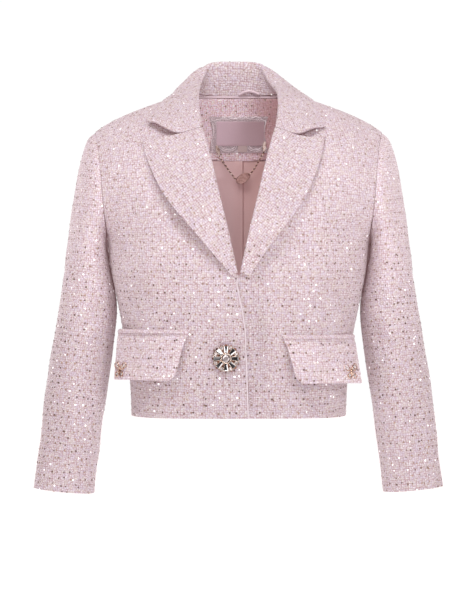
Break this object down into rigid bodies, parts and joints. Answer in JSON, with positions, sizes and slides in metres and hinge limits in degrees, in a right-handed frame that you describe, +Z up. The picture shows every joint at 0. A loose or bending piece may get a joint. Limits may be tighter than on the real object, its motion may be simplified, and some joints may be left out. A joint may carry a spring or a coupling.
{
  "type": "cropped tweed jacket",
  "caption": "Cropped boxy tweed jacket filled out as worn: notched collar and lapels, long two-piece sleeves, flap pockets with butterfly trims, jewelled button, satin lining.",
  "frame": {"origin": "midway between the two points where the shoulder seams meet the collar, where the jacket is carried on the wearer's shoulders", "axes": "+Z up to the collar, -Y out of the front, +X towards the wearer's left"},
  "size_m": [0.5703, 0.2309, 0.6095],
  "materials": {
    "tweed": "matte pale pink boucle tweed with tiny sequins in rows",
    "lining_satin": "soft sheen, peach-pink satin",
    "label_satin": "soft sheen, mauve-grey satin ribbon, bare",
    "pale_lace": "matte pale lace",
    "rose_gold": "polished rose gold plate",
    "crystal": "faceted clear glass, foil backed",
    "jet_stone": "polished black glass, foil backed"
  },
  "bodies": {
    "root": {"back": "tweed", "front_right": "tweed", "front_left": "tweed", "upper_sleeve_right": "tweed", "upper_sleeve_left": "tweed", "under_sleeve_right": "tweed", "under_sleeve_left": "tweed", "collar": "tweed", "lapel_right": "tweed", "lapel_left": "tweed", "back_neck_facing": "tweed", "hanging_loop": "tweed", "welt_right": "tweed", "welt_left": "tweed", "flap_right": "tweed", "flap_left": "tweed", "back_lining": "lining_satin", "neck_label": "label_satin", "label_lace_edge": "pale_lace", "size_tab": "pale_lace", "chain_right": "rose_gold", "chain_left": "rose_gold", "chain_tab_right": "rose_gold", "chain_tab_left": "rose_gold", "chain_tag": "rose_gold", "butterfly_right": "rose_gold", "butterfly_left": "rose_gold", "button_setting": "rose_gold", "button_centre_stone": "crystal", "button_chaton_1": "crystal", "button_chaton_2": "crystal", "button_chaton_3": "crystal", "button_chaton_4": "crystal", "button_chaton_5": "crystal", "button_chaton_6": "crystal", "button_chaton_7": "crystal", "button_chaton_8": "crystal", "button_baguette_1": "jet_stone", "button_baguette_2": "jet_stone", "button_baguette_3": "jet_stone", "button_baguette_4": "jet_stone", "button_baguette_5": "jet_stone", "button_baguette_6": "jet_stone", "button_baguette_7": "jet_stone", "button_baguette_8": "jet_stone"}
  },
  "joints": []
}
